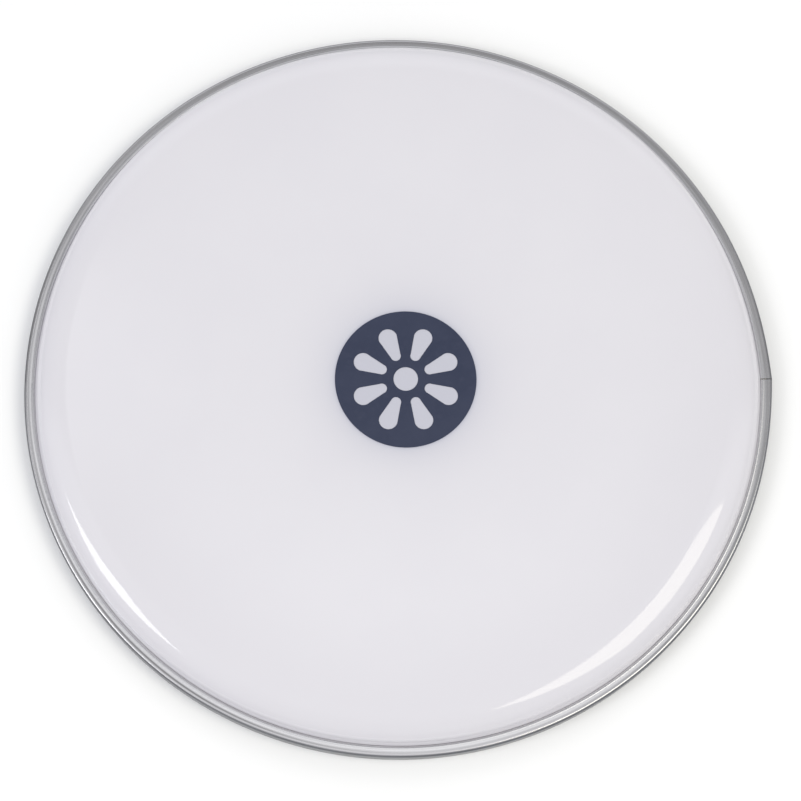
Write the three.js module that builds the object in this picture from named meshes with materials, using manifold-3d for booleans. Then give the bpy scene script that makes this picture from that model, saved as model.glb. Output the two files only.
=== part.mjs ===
// A 12-inch drum head: a formed plastic film whose hooked edge is cast into an aluminium channel hoop.
// Millimetres, +Z up. The origin is the centre of the hoop's bottom face.
import * as THREE from 'three';
import { mergeVertices } from 'three/addons/utils/BufferGeometryUtils.js';
import Module from 'manifold-3d';

// The hoop: a channel rolled into a ring, open in a narrow slot at its inner top edge.
const HOOP_R = 159.6;
const HOOP_H = 9;
const WALL = 0.9;
const OUTER_ROUND = 1.8;
const BOTTOM_ROUND = 1.2;
const LIP_R = 155.15;
const LIP_ROUND = 0.6;
const INNER_WALL_R = 152.95;
const INNER_WALL_T = 0.7;
const INNER_WALL_H = 6.6;
const SEAM_ANGLE = THREE.MathUtils.degToRad(0.6);
const SEAM_GAP = 0.35;

// The rolled hoop's two ends are nearly straight, so the rim stands out in a low peak where they meet.
const SEAM_BULGE = 1.4;
const BULGE_START_R = 148;
const BULGE_FADE = THREE.MathUtils.degToRad(8.5);

// The film: flat in the middle, with an elliptical shoulder and a nearly upright collar.
const FILM_T = 0.3;
const FILM_RISE = 10.5;
const SHOULDER_R = 153.8;
const SHOULDER_WIDTH = 14;
const SHOULDER_DROP = 8;
const COLLAR_R = 154.8;
const HOOK_Z = 3;
const HOOK_BEND = 0.8;
const HOOK_END_R = 157.15;

// The resin, the key inside the seam and the printed badge.
const GAP = 0.3;
const KEY_ARC = THREE.MathUtils.degToRad(10);
const KEY_T = 0.7;
const KEY_H = 5.6;
const BADGE_R = 30;
const BADGE_T = 0.1;
const BADGE_LIFT = 0.02;
const BADGE_CENTRE = [2.9, -1.4];
const PETALS = 8;
const PETAL_INNER = 11;
const PETAL_OUTER = 19.5;
const PETAL_TIP = 4;
const PETAL_ROOT = 2.2;
const BADGE_DOT = 5.2;

// How finely round shapes are divided. A curve has twice as many steps as its number here.
const TURN_STEPS = 72;
const HOOP_ARC_STEPS = 2;
const FILM_ARC_STEPS = 4;
const BADGE_ARC_STEPS = 5;
const KEY_ARC_STEPS = 4;

const wasm = await Module();
wasm.setup();

const QUARTER = Math.PI / 2;
const HALF_T = FILM_T / 2;
const CHANNEL_INNER_R = INNER_WALL_R + INNER_WALL_T;
const CHANNEL_OUTER_R = HOOP_R - WALL;
const CHANNEL_TOP = HOOP_H - WALL;
const FILM_TOP = HOOP_H + FILM_RISE;

const aluminium = new THREE.MeshStandardMaterial({ color: 0xb9bac1, roughness: 0.28, metalness: 1 });
const filmWhite = new THREE.MeshStandardMaterial({ color: 0xe4e1e8, roughness: 0.16, metalness: 0 });
const resinAmber = new THREE.MeshStandardMaterial({ color: 0xb9b29a, roughness: 0.45, metalness: 0 });
const keyMetal = new THREE.MeshStandardMaterial({ color: 0xa4a6ac, roughness: 0.4, metalness: 1 });
const badgeInk = new THREE.MeshStandardMaterial({ color: 0x42465c, roughness: 0.35, metalness: 0 });

// A solid of revolution about Z from a profile of (radius, height) points, with a step at the seam.
function turned(profile) {
  const points = THREE.ShapeUtils.area(profile) > 0 ? profile : profile.slice().reverse();
  const geometry = new THREE.LatheGeometry(points, TURN_STEPS);
  geometry.rotateX(QUARTER);
  geometry.rotateZ(SEAM_ANGLE);
  return geometry;
}

// Pushes the rim's points outwards near the seam, the more the nearer they are to the outer wall.
function bulged(geometry) {
  const position = geometry.attributes.position;
  for (let i = 0; i < position.count; i += 1) {
    const x = position.getX(i);
    const y = position.getY(i);
    const r = Math.hypot(x, y);
    if (r > BULGE_START_R) {
      const away = Math.abs(Math.atan2(y, x) - SEAM_ANGLE);
      const near = Math.exp(-Math.min(away, 4 * QUARTER - away) / BULGE_FADE);
      const push = SEAM_BULGE * near * (r - BULGE_START_R) / (HOOP_R - BULGE_START_R);
      position.setXY(i, x * (1 + push / r), y * (1 + push / r));
    }
  }
  geometry.computeVertexNormals();
  return geometry;
}

// A ring about Z whose section is a closed outline.
function ring(outline) {
  const profile = outline.getPoints(HOOP_ARC_STEPS);
  if (!profile[0].equals(profile[profile.length - 1])) {
    profile.push(profile[0].clone());
  }
  return turned(profile);
}

function toSolid(geometry) {
  const bare = geometry.clone();
  bare.deleteAttribute('normal');
  bare.deleteAttribute('uv');
  const welded = mergeVertices(bare, 1e-4);
  return new wasm.Manifold(new wasm.Mesh({
    numProp: 3,
    vertProperties: new Float32Array(welded.attributes.position.array),
    triVerts: new Uint32Array(welded.index.array),
  }));
}

function toGeometry(solid) {
  const mesh = solid.getMesh();
  const geometry = new THREE.BufferGeometry();
  geometry.setAttribute('position', new THREE.BufferAttribute(new Float32Array(mesh.vertProperties), 3));
  geometry.setIndex(new THREE.BufferAttribute(new Uint32Array(mesh.triVerts), 1));
  geometry.computeVertexNormals();
  return geometry;
}

// A curved block about Z, centred on the seam.
function seamBlock(innerR, outerR, low, high, arc) {
  const shape = new THREE.Shape();
  shape.absarc(0, 0, outerR, SEAM_ANGLE - arc / 2, SEAM_ANGLE + arc / 2, false);
  shape.absarc(0, 0, innerR, SEAM_ANGLE + arc / 2, SEAM_ANGLE - arc / 2, true);
  const geometry = new THREE.ExtrudeGeometry(shape, {
    depth: high - low,
    bevelEnabled: false,
    curveSegments: KEY_ARC_STEPS,
  });
  geometry.translate(0, 0, low);
  return geometry;
}

function fleshHoop() {
  const section = new THREE.Shape();
  const inside = OUTER_ROUND - WALL;
  section.moveTo(HOOP_R, BOTTOM_ROUND);
  section.lineTo(HOOP_R, HOOP_H - OUTER_ROUND);
  section.absarc(HOOP_R - OUTER_ROUND, HOOP_H - OUTER_ROUND, OUTER_ROUND, 0, QUARTER, false);
  section.lineTo(LIP_R + LIP_ROUND, HOOP_H);
  section.absarc(LIP_R + LIP_ROUND, HOOP_H - LIP_ROUND, LIP_ROUND, QUARTER, 2 * QUARTER, false);
  section.lineTo(LIP_R, CHANNEL_TOP);
  section.lineTo(CHANNEL_OUTER_R - inside, CHANNEL_TOP);
  section.absarc(CHANNEL_OUTER_R - inside, CHANNEL_TOP - inside, inside, QUARTER, 0, true);
  section.lineTo(CHANNEL_OUTER_R, WALL);
  section.lineTo(CHANNEL_INNER_R, WALL);
  section.lineTo(CHANNEL_INNER_R, INNER_WALL_H);
  section.lineTo(INNER_WALL_R, INNER_WALL_H);
  section.lineTo(INNER_WALL_R, LIP_ROUND);
  section.absarc(INNER_WALL_R + LIP_ROUND, LIP_ROUND, LIP_ROUND, 2 * QUARTER, 3 * QUARTER, false);
  section.lineTo(HOOP_R - BOTTOM_ROUND, 0);
  section.absarc(HOOP_R - BOTTOM_ROUND, BOTTOM_ROUND, BOTTOM_ROUND, -QUARTER, 0, false);
  const cut = new THREE.BoxGeometry(4 * HOOP_H, SEAM_GAP, 4 * HOOP_H);
  cut.translate(HOOP_R, 0, 0);
  cut.rotateZ(SEAM_ANGLE);
  return toGeometry(toSolid(ring(section)).subtract(toSolid(cut)));
}

// The line down the middle of the film's thickness, from the axis to the end of its hooked edge.
function filmLine() {
  const top = FILM_TOP - HALF_T;
  const flatR = SHOULDER_R - SHOULDER_WIDTH;
  const collarR = COLLAR_R - HALF_T;
  const line = new THREE.Path();
  line.moveTo(0, top);
  line.lineTo(flatR, top);
  line.absellipse(
    flatR, FILM_TOP - SHOULDER_DROP, SHOULDER_WIDTH - HALF_T, SHOULDER_DROP - HALF_T, QUARTER, 0, true,
  );
  line.lineTo(collarR, HOOP_H);
  line.lineTo(collarR, HOOK_Z + HOOK_BEND);
  line.absarc(collarR + HOOK_BEND, HOOK_Z + HOOK_BEND, HOOK_BEND, 2 * QUARTER, 3 * QUARTER, false);
  line.lineTo(HOOK_END_R, HOOK_Z);
  return line.getPoints(FILM_ARC_STEPS);
}

// The film's profile: the middle line moved half a thickness to each side.
function drumheadFilm() {
  const line = filmLine().filter((p, i, all) => i === 0 || p.distanceTo(all[i - 1]) > 1e-6);
  const upper = [];
  const lower = [];
  line.forEach((point, i) => {
    const before = line[Math.max(i - 1, 0)];
    const after = line[Math.min(i + 1, line.length - 1)];
    const along = after.clone().sub(before).normalize();
    const across = new THREE.Vector2(-along.y, along.x).multiplyScalar(HALF_T);
    if (point.x === 0) {
      across.set(0, HALF_T);
    }
    upper.push(point.clone().add(across));
    lower.push(point.clone().sub(across));
  });
  return turned([...lower, ...upper.reverse()]);
}

function lockingResin() {
  const outerR = CHANNEL_OUTER_R - GAP;
  const innerR = COLLAR_R + GAP;
  const low = WALL + GAP;
  const section = new THREE.Shape();
  section.moveTo(CHANNEL_INNER_R + GAP, low);
  section.lineTo(outerR, low);
  section.lineTo(outerR, CHANNEL_TOP - GAP - LIP_ROUND);
  section.lineTo(outerR - LIP_ROUND, CHANNEL_TOP - GAP);
  section.lineTo(innerR, CHANNEL_TOP - GAP);
  section.lineTo(innerR, HOOK_Z + HALF_T + GAP);
  section.lineTo(HOOK_END_R + GAP, HOOK_Z + HALF_T + GAP);
  section.lineTo(HOOK_END_R + GAP, HOOK_Z - HALF_T - GAP);
  section.lineTo(CHANNEL_INNER_R + GAP, HOOK_Z - HALF_T - GAP);
  const pocket = seamBlock(outerR - KEY_T - GAP, HOOP_R, 0, HOOP_H, KEY_ARC + 2 * GAP / HOOP_R);
  return toGeometry(toSolid(ring(section)).subtract(toSolid(pocket)));
}

function spliceKey() {
  const outerR = CHANNEL_OUTER_R - GAP;
  const low = (HOOP_H - KEY_H) / 2;
  return seamBlock(outerR - KEY_T, outerR, low, low + KEY_H, KEY_ARC);
}

// A petal: a round root and a wider round tip joined by straight sides.
function petal(angle) {
  const point = (r) => [r * Math.cos(angle), r * Math.sin(angle)];
  const outline = new THREE.Path();
  outline.absarc(...point(PETAL_OUTER), PETAL_TIP, angle - QUARTER, angle + QUARTER, false);
  outline.absarc(...point(PETAL_INNER), PETAL_ROOT, angle + QUARTER, angle + 3 * QUARTER, false);
  return outline;
}

// Adds a full circle about the centre, made of that many equal arcs.
function circle(path, r, arcs) {
  const sweep = 4 * QUARTER / arcs;
  for (let i = 0; i < arcs; i += 1) {
    path.absarc(0, 0, r, i * sweep, (i + 1) * sweep, false);
  }
  return path;
}

function printedBadge() {
  const disc = circle(new THREE.Shape(), BADGE_R, 6);
  disc.holes.push(circle(new THREE.Path(), BADGE_DOT, 2));
  for (let i = 0; i < PETALS; i += 1) {
    disc.holes.push(petal((i + 0.5) * 4 * QUARTER / PETALS));
  }
  return new THREE.ExtrudeGeometry(disc, {
    depth: BADGE_T,
    bevelEnabled: false,
    curveSegments: BADGE_ARC_STEPS,
  });
}

function piece(name, geometry, material) {
  const mesh = new THREE.Mesh(geometry, material);
  mesh.name = name;
  return mesh;
}

const group = new THREE.Group();
group.name = 'drum_head';
group.add(piece('drumhead_film', bulged(drumheadFilm()), filmWhite));
group.add(piece('flesh_hoop', bulged(fleshHoop()), aluminium));
group.add(piece('locking_resin', bulged(lockingResin()), resinAmber));
group.add(piece('splice_key', bulged(spliceKey()), keyMetal));
const badge = piece('printed_badge', printedBadge(), badgeInk);
badge.position.set(...BADGE_CENTRE, FILM_TOP + BADGE_LIFT);
group.add(badge);

export default group;
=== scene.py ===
"""A bare 12-inch drum head: glossy milky film, bright aluminium flesh hoop and a printed badge.

Metres, +Z up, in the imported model's own frame: the hoop lies on z = 0 about the origin.
"""
from math import atan2, cos, exp, pi, radians, sin, sqrt, tau

import bmesh
import bpy
from mathutils import Matrix, Vector


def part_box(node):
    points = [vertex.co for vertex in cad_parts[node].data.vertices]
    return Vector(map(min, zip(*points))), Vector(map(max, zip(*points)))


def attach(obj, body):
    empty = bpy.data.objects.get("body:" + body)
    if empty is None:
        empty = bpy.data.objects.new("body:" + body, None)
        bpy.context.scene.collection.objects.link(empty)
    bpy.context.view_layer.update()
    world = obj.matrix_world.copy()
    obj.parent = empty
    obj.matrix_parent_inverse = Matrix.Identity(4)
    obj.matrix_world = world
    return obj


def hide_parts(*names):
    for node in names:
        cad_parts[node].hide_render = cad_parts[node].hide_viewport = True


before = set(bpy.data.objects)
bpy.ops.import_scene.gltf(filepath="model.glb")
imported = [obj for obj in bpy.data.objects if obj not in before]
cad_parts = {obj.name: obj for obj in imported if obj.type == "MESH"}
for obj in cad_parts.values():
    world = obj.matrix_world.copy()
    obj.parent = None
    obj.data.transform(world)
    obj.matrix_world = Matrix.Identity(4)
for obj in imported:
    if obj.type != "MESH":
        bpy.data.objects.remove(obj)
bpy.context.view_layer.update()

MM = 0.001

# The hoop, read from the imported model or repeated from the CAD's driving dimensions.
HOOP_LOW, HOOP_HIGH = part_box("flesh_hoop")
HOOP_R = -HOOP_LOW[0]
HOOP_H = HOOP_HIGH[2]
KEY_LOW, KEY_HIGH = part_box("splice_key")
SEAM_ANGLE = atan2(KEY_LOW[1] + KEY_HIGH[1], KEY_LOW[0] + KEY_HIGH[0])
SEAM_GAP = 0.35 * MM
WALL = 0.9 * MM
LIP_R = 155.15 * MM
INNER_WALL_R = 152.95 * MM
INNER_WALL_T = 0.7 * MM
INNER_WALL_H = 6.6 * MM

# The rim stands out in a low peak at the seam.
SEAM_BULGE = HOOP_HIGH[0] - HOOP_R
BULGE_START_R = 148 * MM
BULGE_FADE = radians(8.5)

# The film.
FILM_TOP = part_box("drumhead_film")[1][2]
FILM_T = 0.3 * MM
SHOULDER_R = 153.8 * MM
SHOULDER_WIDTH = 14 * MM
SHOULDER_DROP = 8 * MM
FLAT_R = SHOULDER_R - SHOULDER_WIDTH
COLLAR_R = 154.8 * MM
HOOK_Z = 3 * MM
HOOK_BEND = 0.8 * MM
HOOK_END_R = 157.15 * MM

# The badge.
BADGE_LOW, BADGE_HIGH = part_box("printed_badge")
BADGE_X = (BADGE_LOW[0] + BADGE_HIGH[0]) / 2
BADGE_Y = (BADGE_LOW[1] + BADGE_HIGH[1]) / 2
BADGE_R = (BADGE_HIGH[0] - BADGE_LOW[0]) / 2
PETALS = 8
PETAL_INNER = 11 * MM
PETAL_OUTER = 19.5 * MM
PETAL_TIP = 4 * MM
PETAL_ROOT = 2.2 * MM
BADGE_DOT = 5.2 * MM

TURN_STEPS = 288


# ---------------------------------------------------------------- meshes

def arc(cx, cz, rx, rz, start, end, steps):
    """Points on an ellipse's arc from start to end, in degrees."""
    angles = [radians(start + (end - start) * i / steps) for i in range(steps + 1)]
    return [(cx + rx * cos(a), cz + rz * sin(a)) for a in angles]


def line(x0, z0, x1, z1, steps):
    return [(x0 + (x1 - x0) * i / steps, z0 + (z1 - z0) * i / steps) for i in range(steps + 1)]


def joined(*runs):
    """One outline from several runs of points, without the points where they meet twice."""
    points = []
    for run in runs:
        for p in run:
            if not points or sqrt((p[0] - points[-1][0]) ** 2 + (p[1] - points[-1][1]) ** 2) > 1e-7:
                points.append(p)
    return points


def make_object(name, mesh):
    obj = bpy.data.objects.new(name, mesh)
    bpy.context.scene.collection.objects.link(obj)
    return obj


def shade(mesh, sharp_degrees):
    """Smooth faces, with edges sharper than that many degrees left crisp."""
    mesh.polygons.foreach_set("use_smooth", [True] * len(mesh.polygons))
    bm = bmesh.new()
    bm.from_mesh(mesh)
    for edge in bm.edges:
        if len(edge.link_faces) == 2 and edge.calc_face_angle(0) > radians(sharp_degrees):
            edge.smooth = False
    bm.to_mesh(mesh)
    bm.free()


def away_from_seam(turn):
    return abs((turn - SEAM_ANGLE + pi) % tau - pi)


def rim_place(r, z, turn):
    """A point of the rim's section, pushed outwards near the seam."""
    reach = max(r - BULGE_START_R, 0) / (HOOP_R - BULGE_START_R)
    r += SEAM_BULGE * reach * exp(-away_from_seam(turn) / BULGE_FADE)
    return r * cos(turn), r * sin(turn), z


# ---------------------------------------------------------------- film

def film_line():
    """The middle of the film's thickness, from near the axis out to the end of its hooked edge."""
    top = FILM_TOP - FILM_T / 2
    collar = COLLAR_R - FILM_T / 2
    bend_z = HOOK_Z + HOOK_BEND
    return joined(
        line(0, top, FLAT_R, top, 14),
        arc(FLAT_R, FILM_TOP - SHOULDER_DROP, SHOULDER_WIDTH - FILM_T / 2,
            SHOULDER_DROP - FILM_T / 2, 90, 0, 40),
        line(SHOULDER_R - FILM_T / 2, FILM_TOP - SHOULDER_DROP, collar, HOOP_H, 6),
        line(collar, HOOP_H, collar, bend_z, 4),
        arc(collar + HOOK_BEND, bend_z, HOOK_BEND, HOOK_BEND, 180, 270, 6),
        line(collar + HOOK_BEND, HOOK_Z, HOOK_END_R, HOOK_Z, 2),
    )


def offset_line(points, distance):
    """The same line moved sideways by distance; positive is up on the flat part."""
    moved = []
    for i, (x, z) in enumerate(points):
        x0, z0 = points[max(i - 1, 0)]
        x1, z1 = points[min(i + 1, len(points) - 1)]
        length = sqrt((x1 - x0) ** 2 + (z1 - z0) ** 2)
        moved.append((x - (z1 - z0) / length * distance, z + (x1 - x0) / length * distance))
    moved[0] = (0.0, points[0][1] + distance)
    return moved


def film_mesh():
    """A closed skin of revolution, with its two faces half a thickness from the middle line."""
    middle = film_line()
    profile = offset_line(middle, FILM_T / 2) + offset_line(middle, -FILM_T / 2)[::-1]
    bm = bmesh.new()
    columns = []
    top_pole = bm.verts.new((0, 0, profile[0][1]))
    low_pole = bm.verts.new((0, 0, profile[-1][1]))
    for k in range(TURN_STEPS):
        turn = SEAM_ANGLE + tau * k / TURN_STEPS
        columns.append([bm.verts.new(rim_place(r, z, turn)) for r, z in profile[1:-1]])
    for k, column in enumerate(columns):
        after = columns[(k + 1) % TURN_STEPS]
        bm.faces.new((top_pole, column[0], after[0]))
        bm.faces.new((low_pole, after[-1], column[-1]))
        for i in range(len(column) - 1):
            bm.faces.new((column[i], column[i + 1], after[i + 1], after[i]))
    mesh = bpy.data.meshes.new("film_skin")
    bm.to_mesh(mesh)
    bm.free()
    shade(mesh, 60)
    return mesh


# ---------------------------------------------------------------- hoop

def bump_at(turn, centre, spread):
    """1 at an angle round the hoop, fading to either side; both are in degrees."""
    away = (turn - radians(centre) + pi) % tau - pi
    return exp(-(away / radians(spread)) ** 2)


def ease(x0, z0, x1, z1, steps):
    """A run that leaves and arrives level, such as the side of a bead."""
    points = []
    for i in range(steps + 1):
        t = i / steps
        points.append((x0 + (x1 - x0) * t, z0 + (z1 - z0) * t * t * (3 - 2 * t)))
    return points


def hoop_section(bead, rise):
    """The channel's section, counter-clockwise from the outer wall's foot.

    Rolling leaves a bead along the lip, and outside it a flat that climbs a little to the outer round."""
    outer_round = 1.3 * MM
    lip = COLLAR_R + 0.08 * MM
    lip_wide = 0.95 * MM
    lip_tall = 0.45 * MM
    peak = lip + lip_wide
    flat = HOOP_H - bead
    outer = flat + rise
    outer_x = HOOP_R - outer_round
    under = HOOP_H - WALL
    channel_r = HOOP_R - WALL
    channel_in = INNER_WALL_R + INNER_WALL_T
    round_in = 0.7 * MM
    foot = 1.2 * MM
    toe = 0.6 * MM
    return joined(
        arc(HOOP_R - foot, foot, foot, foot, 270, 360, 8),
        line(HOOP_R, foot, HOOP_R, outer - outer_round, 4),
        arc(outer_x, outer - outer_round, outer_round, outer_round, 0, 90, 16),
        ease(outer_x, outer, outer_x - 1.1 * MM, flat, 8),
        line(outer_x - 1.1 * MM, flat, peak + 0.55 * MM, flat, 2),
        ease(peak + 0.55 * MM, flat, peak, HOOP_H, 8),
        arc(peak, HOOP_H - lip_tall, lip_wide, lip_tall, 90, 180, 12),
        line(lip, HOOP_H - lip_tall, lip, under, 1),
        line(lip, under, channel_r - round_in, under, 1),
        arc(channel_r - round_in, under - round_in, round_in, round_in, 90, 0, 4),
        line(channel_r, under - round_in, channel_r, WALL, 1),
        line(channel_r, WALL, channel_in, WALL, 1),
        line(channel_in, WALL, channel_in, INNER_WALL_H, 1),
        arc((channel_in + INNER_WALL_R) / 2, INNER_WALL_H - INNER_WALL_T / 2, INNER_WALL_T / 2,
            INNER_WALL_T / 2, 0, 180, 6),
        line(INNER_WALL_R, INNER_WALL_H - INNER_WALL_T / 2, INNER_WALL_R, toe, 2),
        arc(INNER_WALL_R + toe, toe, toe, toe, 180, 270, 5),
    )


def rolled_top(turn):
    """How tall the bead is and how far the flat climbs.

    Both change round the hoop, by amounts made up to place its highlights."""
    past_seam = (turn - SEAM_ANGLE) % tau
    pressed = exp(-(past_seam / radians(42)) ** 4)
    bead = 0.06 * MM * (1 - pressed) * (1 - 0.5 * bump_at(turn, -40, 30))
    rise = 0.02 + 0.06 * bump_at(turn, -32, 17) + 0.07 * bump_at(turn, -134, 25)
    return bead, rise * MM * (1 - pressed)


def hoop_mesh():
    steps = 2 * TURN_STEPS
    half_gap = SEAM_GAP / 2 / HOOP_R
    bm = bmesh.new()
    columns = []
    for k in range(steps + 1):
        turn = SEAM_ANGLE + half_gap + (tau - 2 * half_gap) * k / steps
        section = hoop_section(*rolled_top(turn))
        columns.append([bm.verts.new(rim_place(r, z, turn)) for r, z in section])
    count = len(columns[0])
    for before, after in zip(columns, columns[1:]):
        for i in range(count):
            j = (i + 1) % count
            bm.faces.new((before[i], before[j], after[j], after[i]))
    bm.faces.new(columns[0][::-1])
    bm.faces.new(columns[-1])
    bmesh.ops.recalc_face_normals(bm, faces=bm.faces)
    mesh = bpy.data.meshes.new("hoop_channel")
    bm.to_mesh(mesh)
    bm.free()
    shade(mesh, 40)
    return mesh


# ---------------------------------------------------------------- badge

def circle_points(r, steps):
    return [(r * cos(tau * k / steps), r * sin(tau * k / steps)) for k in range(steps)]


def petal_points(angle):
    """A petal's outline: a wide round tip and a narrow round root joined by straight sides."""
    points = []
    for r, size, start in ((PETAL_OUTER, PETAL_TIP, -90), (PETAL_INNER, PETAL_ROOT, 90)):
        cx, cy = r * cos(angle), r * sin(angle)
        for k in range(17):
            a = angle + radians(start + 180 * k / 16)
            points.append((cx + size * cos(a), cy + size * sin(a)))
    return points


def badge_mesh():
    """The ink: a disc with the motif left open, as thick as the CAD's."""
    curve = bpy.data.curves.new("badge_outline", "CURVE")
    curve.dimensions = "2D"
    curve.fill_mode = "BOTH"
    curve.extrude = (BADGE_HIGH[2] - BADGE_LOW[2]) / 2
    outlines = [circle_points(BADGE_R, 240), circle_points(BADGE_DOT, 64)]
    outlines += [petal_points((i + 0.5) * tau / PETALS) for i in range(PETALS)]
    for points in outlines:
        spline = curve.splines.new("POLY")
        spline.points.add(len(points) - 1)
        for p, (x, y) in zip(spline.points, points):
            p.co = (x, y, 0, 1)
        spline.use_cyclic_u = True
    helper = bpy.data.objects.new("badge_outline", curve)
    mesh = bpy.data.meshes.new_from_object(helper)
    bpy.data.objects.remove(helper)
    bpy.data.curves.remove(curve)
    mesh.name = "badge_print"
    mesh.transform(Matrix.Translation((BADGE_X, BADGE_Y, (BADGE_LOW[2] + BADGE_HIGH[2]) / 2)))
    bm = bmesh.new()
    bm.from_mesh(mesh)
    bmesh.ops.remove_doubles(bm, verts=bm.verts, dist=1e-6)
    bmesh.ops.recalc_face_normals(bm, faces=bm.faces)
    bm.to_mesh(mesh)
    bm.free()
    return mesh


# ---------------------------------------------------------------- materials

class Nodes:
    """A short way to write a material's or a world's nodes."""

    def __init__(self, owner):
        owner.use_nodes = True
        self.owner = owner
        self.tree = owner.node_tree
        self.shader = self.tree.nodes.get("Principled BSDF")

    def set(self, **values):
        for key, value in values.items():
            self.shader.inputs[key.replace("_", " ")].default_value = value

    def link(self, source, name):
        self.tree.links.new(source, self.shader.inputs[name])

    def add(self, kind, inputs=(), **settings):
        node = self.tree.nodes.new(kind)
        for key, value in settings.items():
            setattr(node, key, value)
        for key, value in dict(inputs).items():
            if isinstance(value, bpy.types.NodeSocket):
                self.tree.links.new(value, node.inputs[key])
            else:
                node.inputs[key].default_value = value
        return node

    def math(self, operation, a, b=0.0, c=0.0):
        return self.add("ShaderNodeMath", {0: a, 1: b, 2: c}, operation=operation).outputs[0]

    def place(self):
        return self.add("ShaderNodeTexCoord").outputs["Object"]

    def split(self, vector):
        return self.add("ShaderNodeSeparateXYZ", {0: vector}).outputs

    def vector(self, x, y, z):
        return self.add("ShaderNodeCombineXYZ", {0: x, 1: y, 2: z}).outputs[0]

    def noise(self, vector, scale, detail=2.0, roughness=0.5):
        node = self.add(
            "ShaderNodeTexNoise",
            {"Vector": vector, "Scale": scale, "Detail": detail, "Roughness": roughness},
        )
        return node.outputs["Fac"]

    def ramp(self, value, low, high, to_low=0.0, to_high=1.0):
        node = self.add(
            "ShaderNodeMapRange",
            {"Value": value, "From Min": low, "From Max": high, "To Min": to_low, "To Max": to_high},
            interpolation_type="SMOOTHSTEP",
        )
        return node.outputs[0]

    def mix(self, factor, a, b):
        node = self.add("ShaderNodeMix", data_type="RGBA")
        for socket, value in zip((node.inputs[0], node.inputs[6], node.inputs[7]), (factor, a, b)):
            if isinstance(value, bpy.types.NodeSocket):
                self.tree.links.new(value, socket)
            else:
                socket.default_value = value
        return node.outputs[2]

    def bump(self, height, distance, strength=1.0, normal=None):
        inputs = {"Height": height, "Distance": distance, "Strength": strength}
        if normal is not None:
            inputs["Normal"] = normal
        return self.add("ShaderNodeBump", inputs).outputs[0]

    def distance(self, x, y):
        return self.math("SQRT", self.math("ADD", self.math("MULTIPLY", x, x), self.math("MULTIPLY", y, y)))

    def round_place(self):
        """(radius, angle, height) about the hoop's axis, with the peak at the seam taken out."""
        x, y, z = self.split(self.place())
        radius = self.distance(x, y)
        turn = self.math("ARCTAN2", y, x)
        away = self.math("ABSOLUTE", self.math("SUBTRACT", turn, SEAM_ANGLE))
        near = self.math("EXPONENT", self.math("DIVIDE", away, -BULGE_FADE))
        stretch = self.math("MULTIPLY", near, SEAM_BULGE / (HOOP_R - BULGE_START_R))
        before = self.math("ADD", radius, self.math("MULTIPLY", stretch, BULGE_START_R))
        before = self.math("DIVIDE", before, self.math("ADD", stretch, 1.0))
        return self.math("MINIMUM", radius, before), turn, z


def film_material():
    """Milky polyester: cloudy inside, glossy outside, with painted shade on the shoulder and a painted badge
    shadow.

    The outer part also has painted shade, more so towards -Y. That stays on the film in any light."""
    n = Nodes(bpy.data.materials.new("milky_film"))
    place = n.place()
    x, y, z = n.split(place)
    radius, _, _ = n.round_place()
    clear = (0.741, 0.727, 0.766, 1)
    cloud = (0.731, 0.717, 0.758, 1)
    # The next two colours are a painted-shade grey and the colour of a painted badge shadow.
    shade_grey = (0.650, 0.634, 0.675, 1)
    badge_shadow = (0.366, 0.381, 0.480, 1)
    clouds = n.ramp(n.noise(place, 22, 4, 0.55), 0.35, 0.7)
    colour = n.mix(clouds, clear, cloud)
    # Painted shade: the outer part is greyer, more so towards -Y, and so is the shoulder where the film
    # bends down.
    outer = n.ramp(radius, 90 * MM, 150 * MM)
    near_side_shade = n.ramp(y, 120 * MM, -120 * MM, 0.14, 0.50)
    colour = n.mix(n.math("MULTIPLY", outer, near_side_shade), colour, shade_grey)
    shoulder = n.ramp(radius, SHOULDER_R - 5 * MM, COLLAR_R)
    colour = n.mix(n.math("MULTIPLY", shoulder, 0.45), colour, shade_grey)
    # Painted shadow of the badge: a soft grey-blue halo round the ink, lighter again inside the badge's open
    # figure.
    far = n.distance(n.math("SUBTRACT", x, BADGE_X), n.math("SUBTRACT", y, BADGE_Y))
    beyond = n.math("MAXIMUM", n.math("SUBTRACT", far, BADGE_R), 0.0)
    glow = n.math("MULTIPLY", n.math("EXPONENT", n.math("DIVIDE", beyond, -9 * MM)), 0.34)
    fringe = n.math("MULTIPLY", n.math("EXPONENT", n.math("DIVIDE", beyond, -0.8 * MM)), 0.34)
    figure = n.math("MULTIPLY", n.ramp(far, BADGE_R - 1 * MM, BADGE_R - 3 * MM), 0.17)
    colour = n.mix(n.math("SUBTRACT", n.math("ADD", glow, fringe), figure), colour, badge_shadow)
    underside = n.math("LESS_THAN", z, FILM_TOP - FILM_T / 2)
    ghost = n.math("MULTIPLY", underside, n.ramp(far, BADGE_R + 1.5 * MM, BADGE_R - 1.5 * MM))
    colour = n.mix(n.math("MULTIPLY", ghost, 0.45), colour, (0.30, 0.31, 0.40, 1))
    n.link(colour, "Base Color")
    haze = n.math("MULTIPLY", n.noise(place, 160, 3, 0.6), 0.03)
    streaks = n.vector(n.math("MULTIPLY", x, 6.0), n.math("MULTIPLY", y, 90.0), z)
    scuffs = n.math("MULTIPLY", n.ramp(n.noise(streaks, 3, 3), 0.62, 0.75), 0.035)
    formed = n.math("MULTIPLY", n.ramp(radius, SHOULDER_R - 3 * MM, SHOULDER_R), 0.30)
    n.link(n.math("ADD", n.math("ADD", haze, scuffs), n.math("ADD", formed, 0.045)), "Roughness")
    peel = n.noise(place, 700, 2)
    swell = n.noise(place, 30, 2)
    normal = n.bump(peel, 0.0009 * MM, 1.0)
    n.link(n.bump(swell, 0.03 * MM, 1.0, normal), "Normal")
    n.set(IOR=1.57, Specular_IOR_Level=0.5)
    return n.owner


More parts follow.
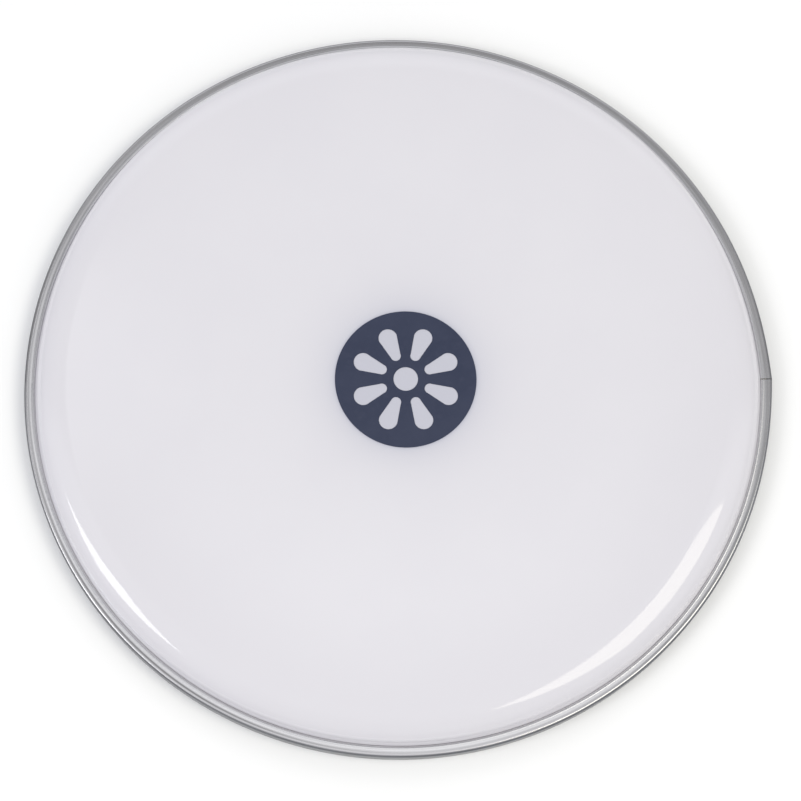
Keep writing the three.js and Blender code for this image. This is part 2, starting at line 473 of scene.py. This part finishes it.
def hoop_material():
    """Rolled aluminium: fine lines along the hoop and a few crimps, with a painted dark reflection on a band
    near the outer edge and on the outer round and side.

    Two more dark bands are painted on and stay there in any light: a painted dark reflection on the outer
    line from -75 to 5 degrees, and painted shade on the lip, whose band reaches further in on the far half."""
    n = Nodes(bpy.data.materials.new("rolled_aluminium"))
    radius, angle, z = n.round_place()
    y = n.split(n.place())[1]
    across = n.vector(
        n.math("MULTIPLY", radius, 1000.0), n.math("MULTIPLY", angle, 0.9), n.math("MULTIPLY", z, 1000.0)
    )
    fine = n.noise(across, 5.0, 3, 0.6)
    broad = n.noise(across, 1.3, 2, 0.5)
    drift = n.noise(n.place(), 40, 3)
    lines = n.math("ADD", n.math("MULTIPLY", fine, 0.6), n.math("MULTIPLY", broad, 0.4))
    bright = (0.81, 0.80, 0.805, 1)
    dull = (0.67, 0.66, 0.665, 1)
    colour = n.mix(n.ramp(lines, 0.38, 0.62), dull, bright)
    colour = n.mix(n.math("MULTIPLY", n.ramp(drift, 0.5, 0.75), 0.35), colour, (0.70, 0.695, 0.71, 1))
    # Painted dark reflection: a band near the outer edge is darker.
    outer_band_shade = n.ramp(radius, HOOP_R - 2.9 * MM, HOOP_R - 1.9 * MM)
    colour = n.mix(n.math("MULTIPLY", outer_band_shade, 0.5), colour, (0.51, 0.50, 0.51, 1))
    # Painted dark reflection on the outer line from -75 to 5 degrees.
    outer_line = n.ramp(radius, HOOP_R - 1.9 * MM, HOOP_R - 1.2 * MM)
    dark_reflection_sector = n.math(
        "MULTIPLY",
        n.ramp(angle, radians(-75), radians(-50)),
        n.ramp(angle, radians(5), radians(-12)),
    )
    dark_reflection_sector = n.math("MULTIPLY", outer_line, dark_reflection_sector)
    colour = n.mix(n.math("MULTIPLY", dark_reflection_sector, 0.75), colour, (0.35, 0.35, 0.36, 1))
    # Painted shade along the lip, which reaches further in on the far half.
    past_lip = n.ramp(radius, LIP_R - 0.1 * MM, LIP_R + 0.5 * MM)
    far_half = n.ramp(y, -40 * MM, 40 * MM)
    lip = n.ramp(radius, LIP_R + 1.7 * MM, LIP_R + 0.9 * MM)
    lip = n.math("MULTIPLY", lip, n.math("MAXIMUM", past_lip, far_half))
    colour = n.mix(n.math("MULTIPLY", lip, 0.45), colour, (0.42, 0.42, 0.45, 1))
    # Painted dark reflection: the outer round and the side are dark.
    edge = n.ramp(radius, HOOP_R - 1.3 * MM, HOOP_R - 0.3 * MM)
    side = n.mix(n.ramp(lines, 0.38, 0.62), (0.085, 0.09, 0.105, 1), (0.19, 0.195, 0.21, 1))
    colour = n.mix(n.math("MULTIPLY", edge, 0.88), colour, side)
    n.link(colour, "Base Color")
    rough = n.math("ADD", n.math("MULTIPLY", lines, 0.16), n.math("MULTIPLY", drift, 0.08))
    rough = n.math("ADD", rough, n.math("MULTIPLY", edge, 0.2))
    rough = n.math("ADD", rough, n.math("MULTIPLY", lip, 0.1))
    n.link(n.math("ADD", rough, 0.05), "Roughness")
    crimps = n.noise(n.vector(n.math("MULTIPLY", angle, 95.0), 0.0, 0.0), 1.0, 2)
    on_bead = n.ramp(radius, LIP_R + 1.9 * MM, LIP_R + 1.0 * MM)
    crimped = n.math(
        "MULTIPLY",
        n.ramp(angle, radians(-172), radians(-158)),
        n.ramp(angle, radians(-108), radians(-122)),
    )
    height = n.math("MULTIPLY", n.math("MULTIPLY", n.ramp(crimps, 0.45, 0.6), on_bead), crimped)
    marks = n.bump(height, 0.03 * MM, 0.6)
    n.link(n.bump(lines, 0.010 * MM, 0.9, marks), "Normal")
    n.set(Metallic=1.0, Anisotropic=0.35)
    tangent = n.add("ShaderNodeTangent", direction_type="RADIAL", axis="Z")
    n.link(tangent.outputs[0], "Tangent")
    return n.owner


def ink_material():
    """Dark blue screen ink: even, with faint screen texture and slightly thin spots."""
    n = Nodes(bpy.data.materials.new("badge_ink"))
    place = n.place()
    thin = n.ramp(n.noise(place, 260, 4, 0.6), 0.45, 0.8)
    colour = n.mix(n.math("MULTIPLY", thin, 0.5), (0.028, 0.036, 0.072, 1), (0.042, 0.050, 0.090, 1))
    mottled = n.noise(place, 60, 3)
    n.link(n.mix(n.ramp(mottled, 0.35, 0.7), colour, (0.034, 0.042, 0.080, 1)), "Base Color")
    n.link(n.math("ADD", n.math("MULTIPLY", n.noise(place, 900, 2), 0.12), 0.16), "Roughness")
    n.link(n.bump(n.noise(place, 1800, 2), 0.0015 * MM, 0.6), "Normal")
    return n.owner


def resin_material():
    n = Nodes(bpy.data.materials.new("cast_resin"))
    place = n.place()
    clouds = n.noise(place, 90, 4, 0.6)
    colour = n.mix(clouds, (0.42, 0.37, 0.26, 1), (0.58, 0.53, 0.40, 1))
    bubbles = n.add("ShaderNodeTexVoronoi", {"Vector": place, "Scale": 1400.0}).outputs["Distance"]
    n.link(n.mix(n.ramp(bubbles, 0.16, 0.10), colour, (0.30, 0.26, 0.18, 1)), "Base Color")
    n.link(n.math("ADD", n.math("MULTIPLY", clouds, 0.2), 0.35), "Roughness")
    n.link(n.bump(bubbles, 0.05 * MM, 0.5), "Normal")
    return n.owner


def key_material():
    n = Nodes(bpy.data.materials.new("key_strip"))
    radius, angle, z = n.round_place()
    grain = n.noise(n.vector(n.math("MULTIPLY", angle, 40.0), n.math("MULTIPLY", z, 6000.0), radius), 1.0, 3)
    n.link(n.mix(grain, (0.50, 0.50, 0.52, 1), (0.68, 0.68, 0.70, 1)), "Base Color")
    n.link(n.math("ADD", n.math("MULTIPLY", grain, 0.25), 0.25), "Roughness")
    n.link(n.bump(grain, 0.01 * MM, 0.6), "Normal")
    n.set(Metallic=1.0)
    return n.owner


def floor_material():
    n = Nodes(bpy.data.materials.new("pale_floor"))
    place = n.place()
    tone = n.noise(place, 6, 3)
    n.link(n.mix(tone, (0.945, 0.945, 0.948, 1), (0.965, 0.965, 0.967, 1)), "Base Color")
    n.set(Roughness=0.7, Specular_IOR_Level=0.2)
    return n.owner


# ---------------------------------------------------------------- the pieces

def dress(obj, material, body="root", replaced=None):
    obj.data.materials.clear()
    obj.data.materials.append(material)
    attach(obj, body)
    if replaced:
        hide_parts(replaced)


def paint_node(node, material):
    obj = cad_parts[node]
    for slot in obj.material_slots:
        slot.material = material


def build_pieces():
    dress(make_object("film_skin", film_mesh()), film_material(), replaced="drumhead_film")
    dress(make_object("hoop_channel", hoop_mesh()), hoop_material(), replaced="flesh_hoop")
    dress(make_object("badge_print", badge_mesh()), ink_material(), replaced="printed_badge")
    paint_node("locking_resin", resin_material())
    paint_node("splice_key", key_material())


# ---------------------------------------------------------------- camera and studio

CAMERA_AZIMUTH = radians(-5.1)
CAMERA_ELEVATION = radians(74.01)
CAMERA_ROLL = radians(4.9)
CAMERA_DISTANCE = 1.0
CAMERA_LENS = 105.0
SENSOR_WIDTH = 36.0
# How far the view's centre lies right of and below the middle of the hoop's top, in metres.
AIM_RIGHT = 0.94 * MM
AIM_DOWN = 7.65 * MM


def make_camera():
    middle = Vector((0, 0, HOOP_H))
    back = Vector((
        sin(CAMERA_AZIMUTH) * cos(CAMERA_ELEVATION),
        -cos(CAMERA_AZIMUTH) * cos(CAMERA_ELEVATION),
        sin(CAMERA_ELEVATION),
    ))
    side = Vector((0, 0, 1)).cross(back).normalized()
    above = back.cross(side)
    right = side * cos(CAMERA_ROLL) + above * sin(CAMERA_ROLL)
    up = above * cos(CAMERA_ROLL) - side * sin(CAMERA_ROLL)
    place = middle + back * CAMERA_DISTANCE
    data = bpy.data.cameras.new("camera")
    data.lens = CAMERA_LENS
    data.sensor_width = SENSOR_WIDTH
    seen_width = CAMERA_DISTANCE * SENSOR_WIDTH / CAMERA_LENS
    data.shift_x = AIM_RIGHT / seen_width
    data.shift_y = -AIM_DOWN / seen_width
    camera = bpy.data.objects.new("camera", data)
    camera.matrix_world = Matrix((
        (right.x, up.x, back.x, place.x),
        (right.y, up.y, back.y, place.y),
        (right.z, up.z, back.z, place.z),
        (0, 0, 0, 1),
    ))
    bpy.context.scene.collection.objects.link(camera)
    bpy.context.scene.camera = camera


def area_light(name, place, size, radiance, turn=0.0, target=(0, 0, 0), colour=(1, 1, 1)):
    """A rectangular lamp facing target, as bright as radiance beside a white surface in full light."""
    data = bpy.data.lights.new(name, "AREA")
    data.shape = "RECTANGLE"
    data.size, data.size_y = size
    data.energy = radiance * pi * size[0] * size[1]
    data.color = colour
    light = bpy.data.objects.new(name, data)
    facing = (Vector(place) - Vector(target)).to_track_quat("Z", "Y")
    turned = facing.to_matrix().to_4x4() @ Matrix.Rotation(turn, 4, "Z")
    light.matrix_world = Matrix.Translation(place) @ turned
    light.visible_camera = False
    bpy.context.scene.collection.objects.link(light)


def flat_light(name, x, y, z, size, radiance, turn=0.0, colour=(1, 1, 1)):
    """A lamp that faces straight down."""
    area_light(name, (x, y, z), size, radiance, turn, target=(x, y, 0), colour=colour)


def make_world():
    """A bright studio with a grey band high up beyond the object, which the hoop's far side reflects.

    The film reflects one small glow. The camera itself sees plain white."""
    world = bpy.data.worlds.new("studio")
    n = Nodes(world)
    x, y, z = n.split(n.add("ShaderNodeTexCoord").outputs["Generated"])
    beyond = n.ramp(y, 0.13, 0.27, 1.0, 0.37)
    behind = n.ramp(y, -0.2, -0.7, 0.0, -0.25)
    far_wall = n.ramp(y, 0.45, 0.75, 0.0, 0.70)
    height = n.ramp(z, 0.05, 0.5, 0.60, 1.0)
    level = n.math("ADD", n.math("ADD", beyond, behind), far_wall)
    sky = n.math("MULTIPLY", level, height)
    off_glow = n.distance(
        n.math("ADD", n.math("DIVIDE", x, n.math("MAXIMUM", z, 0.1)), 0.15),
        n.math("SUBTRACT", n.math("DIVIDE", y, n.math("MAXIMUM", z, 0.1)), 0.29),
    )
    sky = n.math("ADD", sky, n.ramp(off_glow, 0.09, 0.03, 0.0, 0.75))
    to_camera = n.add("ShaderNodeLightPath").outputs["Is Camera Ray"]
    shown = n.math("ADD", n.math("MULTIPLY", sky, n.math("SUBTRACT", 1.0, to_camera)), to_camera)
    background = n.tree.nodes["Background"]
    n.tree.links.new(shown, background.inputs["Strength"])
    background.inputs["Color"].default_value = (1.015, 1.025, 1.055, 1)
    bpy.context.scene.world = world


def make_studio():
    warm = (1.0, 0.965, 0.82)
    flat_light("softbox_right", 0.98, -0.447, 1.6, (1.01, 1.04), 3.1, radians(-9.6), warm)
    flat_light("softbox_left", -1.627, -0.551, 1.6, (1.08, 0.72), 5.0, radians(-14))
    make_world()
    bpy.context.scene.view_settings.view_transform = "Standard"


def make_floor():
    size = 30.0
    bm = bmesh.new()
    bmesh.ops.create_grid(bm, x_segments=1, y_segments=1, size=size / 2)
    mesh = bpy.data.meshes.new("floor")
    bm.to_mesh(mesh)
    bm.free()
    floor = make_object("floor", mesh)
    floor.data.materials.append(floor_material())


build_pieces()
make_floor()
make_studio()
make_camera()
